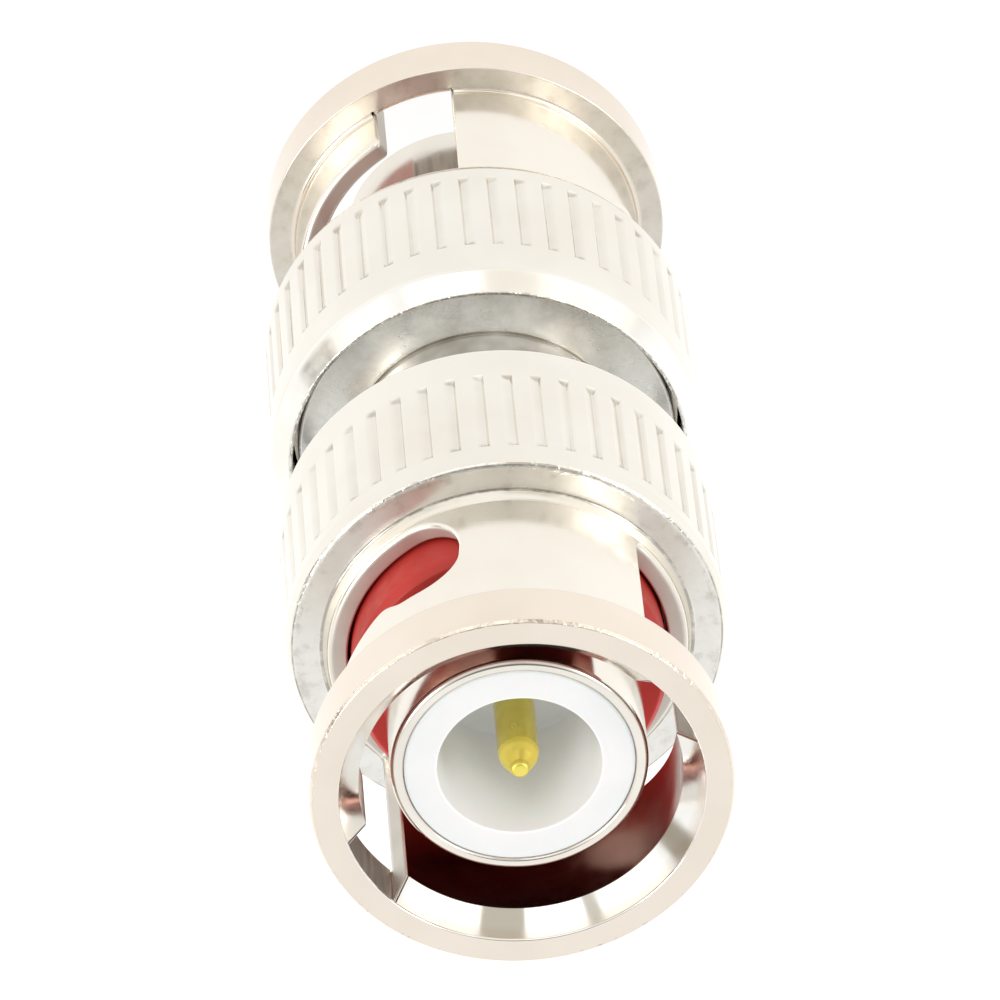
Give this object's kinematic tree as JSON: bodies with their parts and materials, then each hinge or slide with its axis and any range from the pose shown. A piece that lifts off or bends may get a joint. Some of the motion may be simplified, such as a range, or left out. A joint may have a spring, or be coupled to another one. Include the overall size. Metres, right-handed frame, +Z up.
{
  "type": "bnc plug-to-plug adapter",
  "caption": "Double-ended BNC plug adapter with grooved, spring-loaded bayonet coupling nuts, silicone gaskets, white dielectric and gold centre pin",
  "frame": {"origin": "centre of the lower coupling nut's mouth plane, which the adapter stands on", "axes": "+Z runs up the adapter's axis to the upper mouth; +Y is the side whose slots the reference view shows nearest the camera"},
  "size_m": [0.0142, 0.0142, 0.0334],
  "materials": {
    "body_nickel": "turned brass, bright nickel plated",
    "contact_nickel": "turned brass, bright nickel plated",
    "nut_nickel": "turned and milled brass, bright nickel plated, warm tone",
    "ptfe": "white fluoropolymer, turned",
    "bead_ptfe": "white fluoropolymer bead, hidden inside",
    "gold": "brass, bright gold plated",
    "silicone": "red silicone rubber, satin",
    "spring_steel": "rolled spring steel",
    "washer_steel": "punched steel, plated"
  },
  "bodies": {
    "core": {"centre_body": "body_nickel", "outer_contact_a": "contact_nickel", "outer_contact_b": "contact_nickel", "dielectric_a": "ptfe", "dielectric_b": "ptfe", "bead_a": "bead_ptfe", "bead_b": "bead_ptfe", "centre_pin": "gold", "gasket_a": "silicone", "gasket_b": "silicone", "wave_washer_a": "spring_steel", "wave_washer_b": "spring_steel", "slip_washer_a": "washer_steel", "slip_washer_b": "washer_steel"},
    "thrust_a": {"thrust_washer_a": "washer_steel"},
    "thrust_b": {"thrust_washer_b": "washer_steel"},
    "nut_a": {"coupling_nut_a": "nut_nickel"},
    "nut_b": {"coupling_nut_b": "nut_nickel"}
  },
  "joints": [
    {"name": "nut_a_draw", "type": "slide", "parent": "core", "child": "thrust_a", "axis": [0, 0, 1], "range_m": [0, 0.0004], "stiffness_N_per_m": 20000, "springref_m": -0.0002, "deforming": ["wave_washer_a"]},
    {"name": "nut_a_turn", "type": "hinge", "parent": "thrust_a", "child": "nut_a", "pos_m": [0, 0, 0.0227], "axis": [0, 0, 1], "continuous": true},
    {"name": "nut_b_draw", "type": "slide", "parent": "core", "child": "thrust_b", "axis": [0, 0, -1], "range_m": [0, 0.0004], "stiffness_N_per_m": 20000, "springref_m": -0.0002, "deforming": ["wave_washer_b"]},
    {"name": "nut_b_turn", "type": "hinge", "parent": "thrust_b", "child": "nut_b", "pos_m": [0, 0, 0.0107], "axis": [0, 0, -1], "continuous": true}
  ]
}
